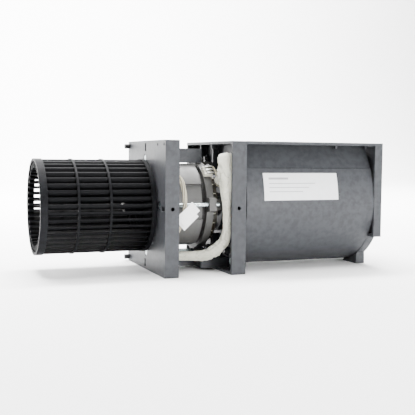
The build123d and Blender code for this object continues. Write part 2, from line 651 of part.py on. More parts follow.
def rating_label():
    """The blank rating sticker on the casing's front."""
    front = ThreePointArc(PARTING, (-67.8, 20.8), FRONT)
    skin = 0.2
    band = make_face([
        ThreePointArc((PARTING[0] - skin, PARTING[1]), (-67.8 - skin, 20.8), (FRONT[0] - skin, FRONT[1])),
        Line((FRONT[0] - skin, FRONT[1]), FRONT),
        ThreePointArc(FRONT, (-67.8, 20.8), PARTING),
        Line(PARTING, (PARTING[0] - skin, PARTING[1])),
    ])
    strip = extrude_x(band, 42.0, 132.0)
    return one(strip & box(42.0, 132.0, -75, -50, 77.5, 106.5))


# ---------------------------------------------------------------- rotating parts
def blade_section(degrees):
    """One forward-curved blade, in (back, up) from the axis."""
    half = BLADE_T / 2

    def point(r, angle, side):
        a = radians(angle) + side * half * 1.06 / r
        return (-r * cos(a), r * sin(a))

    root, tip = degrees, degrees + BLADE_LEAN
    middle_r = (BLADE_ROOT_R + BLADE_TIP_R) / 2
    middle = (root + tip) / 2 - BLADE_BOW
    sides = []
    for side in (-1, 1):
        sides.append([point(BLADE_ROOT_R, root, side), point(middle_r, middle, side),
                      point(BLADE_TIP_R, tip, side)])
    return make_face([
        ThreePointArc(*sides[0]), Line(sides[0][2], sides[1][2]),
        ThreePointArc(*reversed(sides[1])), Line(sides[1][0], sides[0][0]),
    ])


def wheel(open_x, disc_x, ribs):
    """A drum wheel: blades between an open end ring and a hub disc, with ribs between."""
    inward = 1 if disc_x > open_x else -1
    start, stop = sorted((open_x + inward * 0.8, disc_x - inward * 1.0))
    blades = [extrude_x(blade_section(360 / BLADES * k), start, stop) for k in range(BLADES)]
    ring = tube(*sorted((open_x, open_x + inward * OPEN_RING)), WHEEL_R, RING_ROOT_R)
    disc = rod(*sorted((disc_x - inward * DISC_T, disc_x)), WHEEL_R)
    dish = rod(*sorted((disc_x - inward * 20, disc_x - inward * 2.5)), 38.0)
    disc -= dish
    hub = rod(*sorted((disc_x - inward * HUB_L, disc_x)), HUB_R)
    body = disc + hub
    for k in range(6):
        fin = box(*sorted((disc_x - inward * 10, disc_x - inward * 1.0)), -26.0, -HUB_R + 1,
                  AXIS_Z - 0.9, AXIS_Z + 0.9)
        body += around(fin, 60 * k)
    parts = [ring] + [tube(x - RIB_W / 2, x + RIB_W / 2, WHEEL_R, RING_ROOT_R) for x in ribs]
    body = body.fuse(*parts, *blades)
    body -= rod(*sorted((disc_x - inward * (HUB_L + 1), disc_x + inward)), INSERT_R)
    return body


def set_screw_hole(x, r):
    """A radial hole up from the axis through a hub."""
    return Pos(x, 0, AXIS_Z + 6.5) * Cylinder(r, 9.0)


def hub_insert(x0, x1, screw_x):
    """The metal insert moulded into a hub, flatted and bored for the shaft."""
    body = tube(x0, x1, INSERT_R, SHAFT_R)
    return one(body - set_screw_hole(screw_x, 1.5))


def set_screw(x):
    """The grub screw that bites on the shaft."""
    body = Pos(x, 0, AXIS_Z + 7.0) * Cylinder(1.5, 6.0)
    return body - Pos(x, 0, AXIS_Z + 9.5) * extrude(RegularPolygon(0.8, 6), 2.0)


def shaft():
    """The straight shaft through both hubs, with a light chamfer at each end."""
    body = rod(LEFT_HUB_END - 2.0, RIGHT_HUB_END + 2.0, SHAFT_R)
    return one(chamfer(body.edges().filter_by(GeomType.CIRCLE), 0.5))


def rotor_core():
    """The rotor's lamination stack."""
    return tube(CORE_LEFT, CORE_RIGHT, ROTOR_R, SHAFT_R)


def rotor_cage():
    """The cast end rings of the rotor, each with stub fan blades."""
    rings = []
    for x, out in ((CORE_LEFT, -1), (CORE_RIGHT, 1)):
        ring = tube(*sorted((x, x + out * 3.5)), ROTOR_R, 13.0)
        for k in range(8):
            fin = box(*sorted((x + out * 3.0, x + out * 7.0)), -21.5, -14.5, AXIS_Z - 1.0, AXIS_Z + 1.0)
            ring += around(fin, 45 * k)
        rings.append(ring)
    return rings


def thrust_washer(x0, x1):
    """A washer on the shaft between the rotor and a bush."""
    return tube(x0, x1, 6.2, SHAFT_R)


def build():
    """Every node and its solids."""
    nodes = {
        "left_tray": left_tray(),
        "locating_pegs": locating_pegs(),
        "right_tray": right_tray(),
        "arm_screw": arm_screw(),
        "earth_screw": earth_screw(),
        "shield_left": shield_left(),
        "shield_right": shield_right(),
        "through_bolts": through_bolts(),
        "stator_core": stator_core(),
        "stator_winding": stator_winding(),
        "bearing_left": bearing(LEFT_BEARING),
        "bearing_right": bearing(RIGHT_BEARING),
        "felt_left": felt(LEFT_BEARING),
        "felt_right": felt(RIGHT_BEARING),
        "retainer_left": retainer(LEFT_BEARING + RETAINER_AT, 1),
        "retainer_right": retainer(RIGHT_BEARING - RETAINER_AT, -1),
        "thermal_protector": thermal_protector(),
        "lead_exit_block": lead_exit_block(),
        "coil_leads": coil_leads(),
        "lead_sleeve": swept(SLEEVE_ROUTE, SLEEVE_R),
        "lead_wires": swept(WIRES_ROUTE, WIRES_R),
        "lead_connector": lead_connector(),
        "flag_tag": flag_tag(),
        "casing_lower": lower_shell(),
        "casing_upper": upper_shell(),
        "inlet_cap": inlet_cap(),
        "casing_screws_left": casing_screws_left(),
        "casing_screws_right": casing_screws_right(),
        "rating_label": rating_label(),
        "shaft": shaft(),
        "rotor_core": rotor_core(),
        "rotor_cage": rotor_cage(),
        "thrust_washer_left": thrust_washer(LEFT_BEARING + 7.0, LEFT_BEARING + 8.0),
        "thrust_washer_right": thrust_washer(RIGHT_BEARING - 8.0, RIGHT_BEARING - 7.0),
    }
    left_screw = LEFT_HUB_END + SET_SCREW_IN
    right_screw = RIGHT_HUB_END - SET_SCREW_IN
    nodes["wheel_left"] = wheel(LEFT_END, LEFT_DISC, LEFT_RIBS) - set_screw_hole(left_screw, 1.6)
    nodes["wheel_right"] = wheel(RIGHT_OPEN, RIGHT_DISC, RIGHT_RIBS) - set_screw_hole(right_screw, 1.6)
    nodes["hub_insert_left"] = hub_insert(LEFT_HUB_END, LEFT_DISC, left_screw)
    nodes["hub_insert_right"] = hub_insert(RIGHT_DISC, RIGHT_HUB_END, right_screw)
    nodes["set_screw_left"] = set_screw(left_screw)
    nodes["set_screw_right"] = set_screw(right_screw)
    return nodes


os.makedirs("parts", exist_ok=True)
for name, shape in build().items():
    if isinstance(shape, (list, tuple)):
        solids = [s for piece in shape for s in piece.solids()]
    else:
        solids = list(shape.solids())
    export_step(solids[0] if len(solids) == 1 else Compound(children=solids), f"parts/{name}.step")
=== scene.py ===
import json
import math
import random

import bpy
from mathutils import Matrix, Vector, noise


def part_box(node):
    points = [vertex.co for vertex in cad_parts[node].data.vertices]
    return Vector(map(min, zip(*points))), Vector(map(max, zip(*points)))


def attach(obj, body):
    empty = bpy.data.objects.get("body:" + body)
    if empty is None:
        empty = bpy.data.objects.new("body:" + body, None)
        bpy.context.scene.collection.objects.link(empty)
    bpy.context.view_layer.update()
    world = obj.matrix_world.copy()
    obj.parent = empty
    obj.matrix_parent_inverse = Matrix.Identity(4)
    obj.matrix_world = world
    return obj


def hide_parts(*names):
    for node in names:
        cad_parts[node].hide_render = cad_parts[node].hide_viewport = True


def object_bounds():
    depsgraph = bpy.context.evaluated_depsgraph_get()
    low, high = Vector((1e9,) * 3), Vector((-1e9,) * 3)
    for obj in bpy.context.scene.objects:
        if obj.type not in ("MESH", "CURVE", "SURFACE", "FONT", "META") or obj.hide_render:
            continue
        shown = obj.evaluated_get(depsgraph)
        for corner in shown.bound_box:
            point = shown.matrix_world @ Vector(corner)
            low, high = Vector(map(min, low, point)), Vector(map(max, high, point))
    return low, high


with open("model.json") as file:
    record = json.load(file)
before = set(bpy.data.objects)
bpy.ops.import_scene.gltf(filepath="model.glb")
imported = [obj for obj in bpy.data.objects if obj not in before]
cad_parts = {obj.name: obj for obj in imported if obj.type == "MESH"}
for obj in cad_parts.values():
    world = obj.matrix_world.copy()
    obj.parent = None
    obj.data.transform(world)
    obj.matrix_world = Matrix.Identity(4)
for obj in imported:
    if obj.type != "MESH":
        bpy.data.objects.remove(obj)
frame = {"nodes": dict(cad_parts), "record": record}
CAD_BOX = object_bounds()
NODES = frame["nodes"]
MM = 0.001
STATOR = "stator"

# ---------------------------------------------------------------- places taken from the frame
LEFT_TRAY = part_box("left_tray")
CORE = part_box("stator_core")
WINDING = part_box("stator_winding")
AXIS_Z = (LEFT_TRAY[0].z + LEFT_TRAY[1].z) / 2

# routes of the leads, in millimetres, as in the CAD model; the sleeve's lower bend is a little sharper
SLEEVE_ROUTE = [
    (2.0, -36.0, 95.0), (5.0, -45.5, 108.0), (4.0, -45.5, 124.0), (0.5, -58.5, 124.0),
    (5.0, -58.5, 52.0), (3.5, -54.0, 32.0), (-9.0, -41.0, 18.5), (-24.0, -32.0, 16.5),
    (-55.0, -30.0, 17.2),
]
WIRES_ROUTE = [
    (-55.0, -30.0, 17.2), (-61.0, -33.0, 17.8), (-60.5, -50.0, 27.0), (-52.0, -60.0, 45.0),
    (-43.5, -60.0, 67.0), (-44.5, -60.3, 86.0), (-48.5, -60.0, 101.0), (-58.5, -60.0, 108.0),
    (-59.5, -60.0, 117.0),
]


# ---------------------------------------------------------------- shader helpers
class Shader:
    """A node material being put together."""

    def __init__(self, name, rough=0.5, metallic=0.0):
        self.mat = bpy.data.materials.new(name)
        self.mat.use_nodes = True
        self.tree = self.mat.node_tree
        self.bsdf = self.tree.nodes["Principled BSDF"]
        self.bsdf.inputs["Roughness"].default_value = rough
        self.bsdf.inputs["Metallic"].default_value = metallic
        self.coords = self.node("ShaderNodeTexCoord").outputs["Object"]

    def node(self, kind, **settings):
        made = self.tree.nodes.new(kind)
        for key, value in settings.items():
            setattr(made, key, value)
        return made

    def feed(self, socket, value):
        """Links a socket or sets its value."""
        if isinstance(value, bpy.types.NodeSocket):
            self.tree.links.new(value, socket)
        elif hasattr(value, "__len__") and len(value) == 3 and socket.type == "RGBA":
            socket.default_value = (*value, 1.0)
        else:
            socket.default_value = value

    def scaled(self, x, y, z):
        """The coordinates stretched along each axis."""
        mapping = self.node("ShaderNodeMapping")
        self.feed(mapping.inputs["Vector"], self.coords)
        mapping.inputs["Scale"].default_value = (x, y, z)
        return mapping.outputs["Vector"]

    def noise(self, scale, detail=4.0, rough=0.55, vector=None, distortion=0.0):
        made = self.node("ShaderNodeTexNoise")
        self.feed(made.inputs["Vector"], vector or self.coords)
        made.inputs["Scale"].default_value = scale
        made.inputs["Detail"].default_value = detail
        made.inputs["Roughness"].default_value = rough
        made.inputs["Distortion"].default_value = distortion
        return made.outputs["Fac"]

    def cells(self, scale):
        made = self.node("ShaderNodeTexVoronoi", feature="F1")
        self.feed(made.inputs["Vector"], self.coords)
        made.inputs["Scale"].default_value = scale
        return made.outputs["Distance"]

    def waves(self, scale, direction="X", distortion=0.0, vector=None):
        made = self.node("ShaderNodeTexWave", wave_type="BANDS", bands_direction=direction)
        self.feed(made.inputs["Vector"], vector or self.coords)
        made.inputs["Scale"].default_value = scale
        made.inputs["Distortion"].default_value = distortion
        return made.outputs["Fac"]

    def ramp(self, value, low, high, start=0.0, end=1.0):
        """The value between two limits, spread over start to end."""
        made = self.node("ShaderNodeMapRange")
        self.feed(made.inputs["Value"], value)
        made.inputs["From Min"].default_value = low
        made.inputs["From Max"].default_value = high
        made.inputs["To Min"].default_value = start
        made.inputs["To Max"].default_value = end
        return made.outputs["Result"]

    def math(self, operation, a, b=0.0):
        made = self.node("ShaderNodeMath", operation=operation)
        self.feed(made.inputs[0], a)
        self.feed(made.inputs[1], b)
        return made.outputs[0]

    def mix(self, fac, a, b):
        made = self.node("ShaderNodeMix", data_type="RGBA")
        self.feed(made.inputs["Factor"], fac)
        self.feed(made.inputs[6], a)
        self.feed(made.inputs[7], b)
        return made.outputs[2]

    def edges(self, low=0.51, high=0.56):
        """About 1 on sharp outer edges and 0 elsewhere."""
        return self.ramp(self.node("ShaderNodeNewGeometry").outputs["Pointiness"], low, high)

    def recess(self, distance, low=0.25, high=0.85):
        """About 1 deep in the piece's own corners and hollows and 0 in the open."""
        made = self.node("ShaderNodeAmbientOcclusion", samples=8, only_local=True)
        made.inputs["Distance"].default_value = distance
        return self.ramp(made.outputs["AO"], low, high, 1.0, 0.0)

    def place(self, axis):
        """One object coordinate, in metres."""
        made = self.node("ShaderNodeSeparateXYZ")
        self.feed(made.inputs[0], self.coords)
        return made.outputs[axis]

    def bump(self, *layers, soften=0.0):
        """Bump layers of (height, distance in metres), over edges softened by a radius in metres."""
        normal = None
        if soften:
            bevel = self.node("ShaderNodeBevel", samples=4)
            bevel.inputs["Radius"].default_value = soften
            normal = bevel.outputs["Normal"]
        for height, distance in layers:
            made = self.node("ShaderNodeBump")
            self.feed(made.inputs["Height"], height)
            made.inputs["Distance"].default_value = distance
            if normal:
                self.feed(made.inputs["Normal"], normal)
            normal = made.outputs["Normal"]
        self.feed(self.bsdf.inputs["Normal"], normal)

    def colour(self, value):
        self.feed(self.bsdf.inputs["Base Color"], value)

    def rough(self, value):
        self.feed(self.bsdf.inputs["Roughness"], value)


def shade(colour, factor):
    return tuple(min(1.0, c * factor) for c in colour)


GRAIN_DEPTH = 0.00006     # metres, spark-eroded grain of the moulds


def moulded(name, base, rough, soften=0.0005, wear=1.35, hollow_shade=0.8, gloss=0.22):
    """Injection-moulded plastic: fine grain, faint flow lines, painted shade in its own hollows and rubbed
    edges.
    """
    s = Shader(name, rough)
    s.bsdf.inputs["Specular IOR Level"].default_value = gloss
    cloud = s.noise(16.0, 4.0, 0.55)
    flow = s.noise(24.0, 4.0, 0.5, vector=s.scaled(0.12, 1.0, 2.6))
    tone = s.mix(s.ramp(cloud, 0.3, 0.7), shade(base, 0.98), shade(base, 1.02))
    tone = s.mix(s.ramp(flow, 0.5, 0.75, 0.0, 0.5), tone, shade(base, 1.12))
    speck = s.ramp(s.noise(900.0, 2.0), 0.66, 0.74, 0.0, 0.25)
    tone = s.mix(speck, tone, shade(base, 1.4))
    rubbed = s.math("MULTIPLY", s.edges(), s.ramp(s.noise(160.0, 3.0), 0.35, 0.6))
    tone = s.mix(rubbed, tone, shade(base, wear))
    # painted shade: the colour darkens towards a twelfth of the base deep in the piece's own hollows, found
    # by ambient occlusion
    s.colour(s.mix(s.math("MULTIPLY", s.recess(0.03), hollow_shade), tone, shade(base, 0.12)))
    s.rough(s.ramp(s.noise(45.0, 4.0, 0.5), 0.3, 0.7, rough - 0.02, rough + 0.02))
    s.bump((s.noise(2600.0, 3.0, 0.6), GRAIN_DEPTH), (flow, 0.00003), soften=soften)
    return s.mat


def cast_metal(name, base, rough):
    """Die-cast aluminium: fine orange-peel skin, flow marks, grey film and scuffed edges."""
    s = Shader(name, rough, 0.35)
    film = s.noise(38.0, 6.0, 0.62)
    tone = s.mix(s.ramp(film, 0.32, 0.68), shade(base, 0.78), shade(base, 1.06))
    tone = s.mix(s.ramp(s.cells(420.0), 0.0, 0.22, 0.35, 0.0), tone, shade(base, 0.55))
    tone = s.mix(s.edges(0.52, 0.6), tone, shade(base, 1.3))
    s.colour(tone)
    s.rough(s.ramp(s.noise(110.0, 5.0, 0.7), 0.3, 0.7, rough - 0.1, rough + 0.14))
    s.bump((s.noise(1500.0, 4.0, 0.65), 0.00009), (s.noise(260.0, 3.0), 0.00012), soften=0.0006)
    return s.mat


def plated(name, base, rough=0.28):
    """Zinc or nickel plate with fine polishing lines."""
    s = Shader(name, rough, 1.0)
    tone = s.mix(s.ramp(s.noise(240.0, 4.0), 0.3, 0.7), shade(base, 0.82), base)
    tone = s.mix(s.ramp(s.noise(90.0, 3.0), 0.55, 0.8), tone, (0.62, 0.66, 0.60))
    s.colour(tone)
    s.rough(s.ramp(s.noise(700.0, 3.0), 0.3, 0.7, rough - 0.06, rough + 0.12))
    lines = s.noise(900.0, 3.0, vector=s.scaled(0.2, 1.0, 1.0))
    s.bump((lines, 0.00003), soften=0.0003)
    return s.mat


def laminations():
    """A stack of half-millimetre sheets: fine dark lines along the stack, oily film and a little rust."""
    s = Shader("stacked_sheets", 0.45, 0.85)
    sheets = s.waves(310.0)
    tone = s.mix(s.ramp(sheets, 0.1, 0.5), (0.01, 0.01, 0.01), (0.05, 0.049, 0.047))
    tone = s.mix(s.ramp(s.noise(70.0, 5.0), 0.56, 0.75, 0.0, 0.6), tone, (0.05, 0.025, 0.012))
    s.colour(tone)
    s.rough(s.ramp(s.noise(300.0, 3.0), 0.3, 0.7, 0.32, 0.6))
    s.bump((sheets, 0.00016), (s.noise(600.0, 3.0), 0.00005), soften=0.0002)
    return s.mat


def enamelled(name, base, varnish):
    """Varnished copper wire: olive-brown varnish, thick in places, with a wet gloss."""
    s = Shader(name, 0.33, 0.25)
    tone = s.mix(s.ramp(s.noise(180.0, 4.0), 0.35, 0.65), base, shade(base, 1.8))
    tone = s.mix(s.ramp(s.noise(55.0, 4.0), 0.4, 0.68), tone, varnish)
    s.colour(tone)
    s.rough(s.ramp(s.noise(210.0, 4.0), 0.3, 0.7, 0.22, 0.5))
    s.bsdf.inputs["Coat Weight"].default_value = 0.45
    s.bsdf.inputs["Coat Roughness"].default_value = 0.18
    s.bump((s.noise(1200.0, 3.0), 0.00006), (s.noise(260.0, 3.0), 0.00018))
    return s.mat


def sleeving():
    """Varnished braided fibre sleeve: cream, a fine weave, painted shade in its creases and wrinkles, a
    little waxy.
    """
    s = Shader("cream_sleeving", 0.62)
    base = (0.80, 0.79, 0.66)
    tone = s.mix(s.ramp(s.noise(75.0, 5.0, 0.6), 0.3, 0.7), shade(base, 0.88), shade(base, 1.04))
    tone = s.mix(s.ramp(s.noise(22.0, 3.0), 0.55, 0.75, 0.0, 0.5), tone, (0.50, 0.48, 0.35))
    # painted shade: the colour turns deep olive where the mesh's creases are hollow, read from pointiness
    crease = s.ramp(s.node("ShaderNodeNewGeometry").outputs["Pointiness"], 0.42, 0.495, 0.55, 0.0)
    tone = s.mix(crease, tone, (0.20, 0.185, 0.125))
    # painted shade: thin darker lines along noise wrinkles, which the bump below also dents
    ridge = s.math("ABSOLUTE", s.math("SUBTRACT", s.noise(95.0, 3.0, 0.5, distortion=0.6), 0.5))
    wrinkle = s.math("MULTIPLY", s.ramp(ridge, 0.0, 0.035, 1.0, 0.0), s.ramp(s.noise(40.0, 2.0), 0.42, 0.62))
    tone = s.mix(s.math("MULTIPLY", wrinkle, 0.6), tone, (0.26, 0.245, 0.17))
    warp = s.waves(420.0, "DIAGONAL", 1.0)
    weft = s.waves(420.0, "DIAGONAL", 1.0, vector=s.scaled(1.0, 1.0, -1.0))
    weave = s.math("MAXIMUM", warp, weft)
    s.colour(s.mix(s.ramp(weave, 0.2, 0.8, 0.0, 0.16), shade_link(s, tone), tone))
    s.rough(s.ramp(s.noise(500.0, 3.0), 0.3, 0.7, 0.5, 0.74))
    s.bsdf.inputs["Sheen Weight"].default_value = 0.25
    s.bsdf.inputs["Subsurface Weight"].default_value = 0.12
    s.bsdf.inputs["Subsurface Radius"].default_value = (0.004, 0.003, 0.002)
    s.bump((weave, 0.00022), (s.noise(320.0, 4.0), 0.0003), (s.math("MULTIPLY", wrinkle, -1.0), 0.0006))
    return s.mat


def shade_link(s, tone):
    """A darker copy of a linked colour."""
    made = s.node("ShaderNodeHueSaturation")
    made.inputs["Value"].default_value = 0.72
    s.feed(made.inputs["Color"], tone)
    return made.outputs["Color"]


# blank rules on the sticker: height as a share, half thickness, share of the width
RULE_INSET = 0.006
RULE_SPAN = 0.056
RULES = [(0.80, 0.0011, 0.42), (0.62, 0.0004, 1.0), (0.47, 0.0004, 0.86), (0.32, 0.0004, 0.72)]


def paper(name, base, rough=0.7, rules=False):
    """Coated paper with fibres and faint smudges, and blank grey rules where asked."""
    s = Shader(name, rough)
    tone = s.mix(s.ramp(s.noise(120.0, 5.0), 0.35, 0.7), base, shade(base, 0.93))
    tone = s.mix(s.ramp(s.noise(1400.0, 2.0), 0.6, 0.75, 0.0, 0.3), tone, shade(base, 0.8))
    if rules:
        low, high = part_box("rating_label")
        left = low.x + RULE_INSET
        x, z = s.place(0), s.place(2)
        for up, thick, run in RULES:
            level = low.z + (high.z - low.z) * up
            band = s.math("COMPARE", z, level)
            band.node.inputs[2].default_value = thick
            span = s.math("COMPARE", x, left + RULE_SPAN * run / 2)
            span.node.inputs[2].default_value = RULE_SPAN * run / 2
            mark = s.math("MULTIPLY", s.math("MULTIPLY", band, span), 0.75)
            tone = s.mix(mark, tone, (0.16, 0.16, 0.17))
    s.colour(tone)
    s.rough(s.ramp(s.noise(300.0, 3.0), 0.3, 0.7, rough - 0.1, rough + 0.1))
    s.bump((s.noise(900.0, 4.0), 0.00004), (s.noise(45.0, 2.0), 0.0003))
    return s.mat


def felt():
    """Oiled wool felt."""
    s = Shader("oiled_felt", 0.95)
    s.colour(s.mix(s.ramp(s.noise(420.0, 5.0), 0.3, 0.7), (0.42, 0.36, 0.24), (0.66, 0.60, 0.46)))
    s.bsdf.inputs["Sheen Weight"].default_value = 0.6
    s.bump((s.noise(1500.0, 5.0, 0.7), 0.0004))
    return s.mat


def bronze():
    """Sintered bronze: open pores and an oil film."""
    s = Shader("sintered_bronze", 0.4, 0.9)
    pores = s.cells(1500.0)
    s.colour(s.mix(s.ramp(pores, 0.0, 0.3), (0.16, 0.10, 0.05), (0.55, 0.38, 0.20)))
    s.bump((pores, 0.0001), soften=0.0002)
    return s.mat


def make_materials():
    """One material for each slot in the record."""
    return {
        "grey_plastic": moulded("grey_plastic", (0.026, 0.0275, 0.031), 0.48,
                                hollow_shade=0.6, gloss=0.18),
        "casing_plastic": moulded("casing_plastic", (0.030, 0.0315, 0.035), 0.46,
                                  hollow_shade=0.3, gloss=0.17),
        "wheel_plastic": moulded("wheel_plastic", (0.0042, 0.0044, 0.0050), 0.55,
                                 soften=0.0003, wear=1.8, hollow_shade=0.9, gloss=0.04),
        "black_plastic": moulded("black_plastic", (0.010, 0.010, 0.011), 0.4, wear=2.0),
        "white_plastic": moulded("white_plastic", (0.42, 0.41, 0.34), 0.38, wear=1.1),
        "cast_aluminium": cast_metal("cast_aluminium", (0.052, 0.0515, 0.050), 0.5),
        "bracket": cast_metal("bracket_metal", (0.034, 0.0335, 0.032), 0.5),
        "zinc": plated("zinc_plate", (0.42, 0.48, 0.49)),
        "black_steel": moulded("blackened_steel", (0.012, 0.012, 0.012), 0.36, wear=2.2),
        "shaft_steel": plated("ground_steel", (0.40, 0.40, 0.39), 0.22),
        "spring_steel": plated("spring_steel", (0.16, 0.16, 0.15), 0.38),
        "lamination": laminations(),
        "copper": enamelled("varnished_copper", (0.016, 0.011, 0.005), (0.020, 0.021, 0.010)),
        "bronze": bronze(),
        "felt": felt(),
        "sleeve": sleeving(),
        "wire": moulded("wire_insulation", (0.36, 0.33, 0.25), 0.42, wear=1.1),
        "paper_tag": paper("tag_paper", (0.80, 0.80, 0.79)),
        "label": paper("sticker_paper", (0.72, 0.73, 0.74), 0.45, rules=True),
    }


# ---------------------------------------------------------------- mesh helpers
def add_mesh(name, vertices, faces, material):
    """A smooth piece of the object from points in metres, riding on the part that stands still."""
    mesh = bpy.data.meshes.new(name)
    mesh.from_pydata([tuple(v) for v in vertices], [], faces)
    mesh.validate()
    mesh.polygons.foreach_set("use_smooth", [True] * len(mesh.polygons))
    mesh.materials.append(material)
    piece = bpy.data.objects.new(name, mesh)
    bpy.context.scene.collection.objects.link(piece)
    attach(piece, STATOR)
    return piece


def smooth_route(points, steps):
    """Points in metres along the NURBS spline that a route's millimetre points control."""
    curve = bpy.data.curves.new("route", "CURVE")
    curve.dimensions = "3D"
    spline = curve.splines.new("NURBS")
    spline.points.add(len(points) - 1)
    for point, place in zip(spline.points, points):
        point.co = (place[0] * MM, place[1] * MM, place[2] * MM, 1.0)
    spline.order_u = 3
    spline.use_endpoint_u = True
    spline.resolution_u = steps
    holder = bpy.data.objects.new("route", curve)
    bpy.context.scene.collection.objects.link(holder)
    mesh = bpy.data.meshes.new_from_object(holder)
    line = [v.co.copy() for v in mesh.vertices]
    bpy.data.objects.remove(holder)
    bpy.data.curves.remove(curve)
    bpy.data.meshes.remove(mesh)
    return line


def evenly(line, count):
    """A polyline resampled to equal steps."""
    lengths = [0.0]
    for a, b in zip(line, line[1:]):
        lengths.append(lengths[-1] + (b - a).length)
    out, j = [], 0
    for i in range(count):
        want = lengths[-1] * i / (count - 1)
        while j < len(line) - 2 and lengths[j + 1] < want:
            j += 1
        span = max(lengths[j + 1] - lengths[j], 1e-12)
        out.append(line[j].lerp(line[j + 1], min(1.0, (want - lengths[j]) / span)))
    return out


def frames_along(line, across):
    """Side and up at each point, carried along without twist."""
    out = []
    side = Vector(across)
    for i, p in enumerate(line):
        tangent = (line[min(i + 1, len(line) - 1)] - line[max(i - 1, 0)]).normalized()
        side = (side - tangent * side.dot(tangent)).normalized()
        out.append((side, tangent.cross(side)))
    return out


def tube_points(line, frames, around, shape):
    """Rings of points; shape(i, angle) gives (side, up) in metres."""
    points = []
    for i, (p, (side, up)) in enumerate(zip(line, frames)):
        for j in range(around):
            a, b = shape(i, 2 * math.pi * j / around)
            points.append(p + side * a + up * b)
    return points


def tube_faces(rings, around, first=0):
    """Quads between rings of points, with the ends closed."""
    faces = []
    for i in range(rings - 1):
        for j in range(around):
            a = first + i * around + j
            b = first + i * around + (j + 1) % around
            faces.append((a, b, b + around, a + around))
    last = first + (rings - 1) * around
    faces.append(tuple(first + j for j in reversed(range(around))))
    faces.append(tuple(last + j for j in range(around)))
    return faces


def strands(lines, radius, around):
    """Points and faces of several round wires."""
    points, faces = [], []
    for line in lines:
        frames = frames_along(line, (0.3, 0.5, 0.8))
        first = len(points)
        points += tube_points(line, frames, around,
                              lambda i, a: (radius * math.cos(a), radius * math.sin(a)))
        faces += tube_faces(len(line), around, first)
    return points, faces


def mix_table(table, t):
    """A value read from (share, value) rows with smooth steps between them."""
    for (t0, v0), (t1, v1) in zip(table, table[1:]):
        if t <= t1:
            k = (t - t0) / (t1 - t0)
            k = k * k * (3 - 2 * k)
            return v0 + (v1 - v0) * k
    return table[-1][1]


# ---------------------------------------------------------------- leads
# half width and half depth of the sleeve along its length, in millimetres
SLEEVE_WIDTH = [(0.0, 4.6), (0.10, 5.0), (0.19, 7.8), (0.26, 8.9), (0.32, 7.6), (0.40, 5.8), (0.48, 4.6),
                (0.56, 4.4), (0.64, 5.8), (0.72, 6.8), (0.80, 5.8), (0.90, 5.0), (1.0, 5.0)]
SLEEVE_DEPTH = [(0.0, 4.4), (0.10, 4.4), (0.19, 3.4), (0.26, 3.4), (0.33, 3.7), (0.41, 4.3), (0.50, 4.3),
                (0.58, 4.3), (0.66, 4.4), (0.74, 4.6), (0.82, 4.6), (0.90, 4.6), (1.0, 4.6)]


def lead_sleeve(material):
    """The creased sleeve: flattened where it folds over the top, with soft folds along it."""
    rings, around = 420, 56
    line = evenly(smooth_route(SLEEVE_ROUTE, 40), rings)
    frames = frames_along(line, (1, 0, 0))

    def shape(i, angle):
        t = i / (rings - 1)
        wide, deep = mix_table(SLEEVE_WIDTH, t) * MM, mix_table(SLEEVE_DEPTH, t) * MM
        lobe = 1 + 0.05 * math.sin(3 * angle + 9 * t) + 0.03 * math.sin(5 * angle - 23 * t)
        spot = Vector((math.cos(angle) * 1.3, math.sin(angle) * 1.3, t * 17.0))
        fold = abs(noise.noise(spot)) * 2
        fine = abs(noise.noise(spot * 2.6 + Vector((4, 7, 1))))
        bend = math.exp(-((t - 0.70) / 0.07) ** 2) + 0.8 * math.exp(-((t - 0.25) / 0.05) ** 2)
        crease = (0.45 + 0.65 * bend) * (max(0.0, 1 - fold) ** 3) * 0.26 + 0.08 * max(0.0, 1 - fine) ** 4
        ripple = 0.045 * bend * math.sin(t * 300 + 1.5 * math.sin(angle * 2))
        end = 0.82 + 0.18 * min(1.0, t / 0.012, (1 - t) / 0.012)
        scale = lobe * (1.04 - crease + ripple) * end
        return wide * math.cos(angle) * scale, deep * math.sin(angle) * scale

    points = tube_points(line, frames, around, shape)
    piece = add_mesh("crinkled_sleeve", points, tube_faces(rings, around), material)
    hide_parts("lead_sleeve")


def lead_bundle(material):
    """Five insulated leads twisted slowly round each other."""
    rings = 240
    line = evenly(smooth_route(WIRES_ROUTE, 40), rings)
    frames = frames_along(line, (0.2, 0.9, 0.1))
    lines = []
    for k in range(5):
        run = []
        for i, (p, (side, up)) in enumerate(zip(line, frames)):
            t = i / (rings - 1)
            angle = 2 * math.pi * (k / 5 + 1.6 * t)
            reach = 1.55 * MM * (1 + 0.12 * math.sin(31 * t + 2.1 * k))
            run.append(p + side * (math.cos(angle) * reach) + up * (math.sin(angle) * reach))
        lines.append(run)
    points, faces = strands(lines, 0.85 * MM, 10)
    piece = add_mesh("twisted_leads", points, faces, material)
    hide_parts("lead_wires")


TAG_TILT = -43            # degrees about Y
# each leaf: place along, curl, length, height, place up, and how far it stands back, in millimetres
LEAVES = ((2.0, 1.0, 24.0, 12.5, 1.6, -0.25), (-5.0, 0.2, 21.0, 13.5, -1.4, 0.25))
PAPER_HALF = 0.07         # half the paper's thickness


